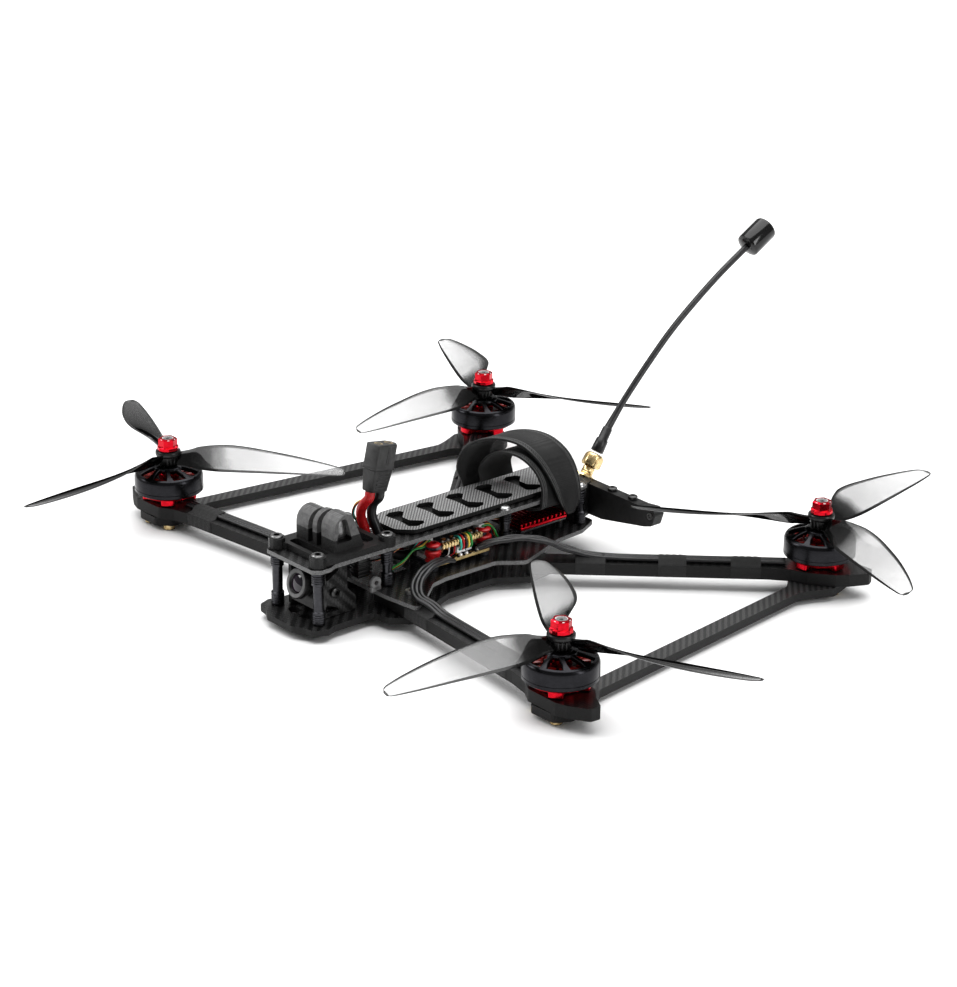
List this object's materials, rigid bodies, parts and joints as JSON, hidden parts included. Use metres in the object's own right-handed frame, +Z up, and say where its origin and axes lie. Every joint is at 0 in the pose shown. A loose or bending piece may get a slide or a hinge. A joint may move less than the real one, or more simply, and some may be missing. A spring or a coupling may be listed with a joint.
{
  "type": "fpv racing drone",
  "caption": "Quadcopter with a carbon frame, arms, side bars, open motors with three-blade propellers, tilting camera, battery strap and tail aerial.",
  "frame": {"origin": "middle of the base of the overall box, at the level of the motor screws' heads it stands on", "axes": "+X to the drone's starboard side across the motors, +Y from the nose to the tail, +Z up along the motor shafts"},
  "size_m": [0.4468, 0.3603, 0.1384],
  "materials": {
    "carbon_plate": "satin carbon weave",
    "carbon_battery_plate": "glossy carbon weave",
    "carbon_arm": "satin carbon",
    "black_aluminium": "black anodised",
    "red_aluminium": "red anodised",
    "black_bell": "black satin",
    "smoky_propeller": "smoky translucent",
    "motor_wire": "silicone under cloth tape",
    "printed_black": "printed, fine layers",
    "black_plastic": "smooth black",
    "lens_barrel": "grey",
    "circuit_board": "black solder mask",
    "grey_connector": "moulded grey nylon",
    "red_silicone": "soft gloss",
    "black_silicone": "soft gloss",
    "signal_wire": "soft gloss",
    "pad_rubber": "matt",
    "strap": "rubberised webbing",
    "gold_socket": "gold plated"
  },
  "bodies": {
    "frame": {"aerial_cap": "black_plastic", "aerial_socket": "gold_socket", "aerial_stalk": "black_plastic", "arm_front_left": "carbon_arm", "arm_front_right": "carbon_arm", "arm_rear_left": "carbon_arm", "arm_rear_right": "carbon_arm", "battery_connector": "grey_connector", "battery_lead_black": "black_silicone", "battery_lead_red": "red_silicone", "battery_pad": "pad_rubber", "battery_plate": "carbon_battery_plate", "battery_strap": "strap", "bottom_plate": "carbon_plate", "camera_plate_left": "carbon_plate", "camera_plate_right": "carbon_plate", "esc_board": "circuit_board", "flight_board": "circuit_board", "mid_plate": "carbon_plate", "motor_base_front_left": "red_aluminium", "motor_base_front_right": "red_aluminium", "motor_base_rear_left": "red_aluminium", "motor_base_rear_right": "red_aluminium", "motor_wires_front_left": "motor_wire", "motor_wires_front_right": "motor_wire", "motor_wires_rear_left": "motor_wire", "motor_wires_rear_right": "motor_wire", "nose_mount": "printed_black", "side_bar_left": "carbon_arm", "side_bar_right": "carbon_arm", "signal_wires": "signal_wire", "standoff_mid_left": "black_aluminium", "standoff_mid_right": "black_aluminium", "standoff_nose_front_left": "black_aluminium", "standoff_nose_front_right": "black_aluminium", "standoff_nose_rear_left": "black_aluminium", "standoff_nose_rear_right": "black_aluminium", "standoff_tail_left": "black_aluminium", "standoff_tail_right": "black_aluminium", "tail_mount": "printed_black", "top_plate": "carbon_plate", "video_transmitter": "red_aluminium"},
    "camera": {"camera_body": "black_plastic", "camera_lens": "lens_barrel"},
    "rotor_front_right": {"bell_front_right": "black_bell", "propeller_front_right": "smoky_propeller", "prop_nut_front_right": "red_aluminium"},
    "rotor_front_left": {"bell_front_left": "black_bell", "propeller_front_left": "smoky_propeller", "prop_nut_front_left": "red_aluminium"},
    "rotor_rear_right": {"bell_rear_right": "black_bell", "propeller_rear_right": "smoky_propeller", "prop_nut_rear_right": "red_aluminium"},
    "rotor_rear_left": {"bell_rear_left": "black_bell", "propeller_rear_left": "smoky_propeller", "prop_nut_rear_left": "red_aluminium"}
  },
  "joints": [
    {"name": "spin_front_right", "type": "hinge", "parent": "frame", "child": "rotor_front_right", "pos_m": [0.1419, -0.0917, 0.0333], "axis": [0, 0, 1], "continuous": true},
    {"name": "spin_front_left", "type": "hinge", "parent": "frame", "child": "rotor_front_left", "pos_m": [-0.1419, -0.0917, 0.0333], "axis": [0, 0, 1], "continuous": true},
    {"name": "spin_rear_right", "type": "hinge", "parent": "frame", "child": "rotor_rear_right", "pos_m": [0.119, 0.0917, 0.0333], "axis": [0, 0, 1], "continuous": true},
    {"name": "spin_rear_left", "type": "hinge", "parent": "frame", "child": "rotor_rear_left", "pos_m": [-0.119, 0.0917, 0.0333], "axis": [0, 0, 1], "continuous": true},
    {"name": "camera_tilt", "type": "hinge", "parent": "frame", "child": "camera", "pos_m": [0, -0.1106, 0.018], "axis": [-1, 0, 0], "range_deg": [-15, 22]}
  ]
}
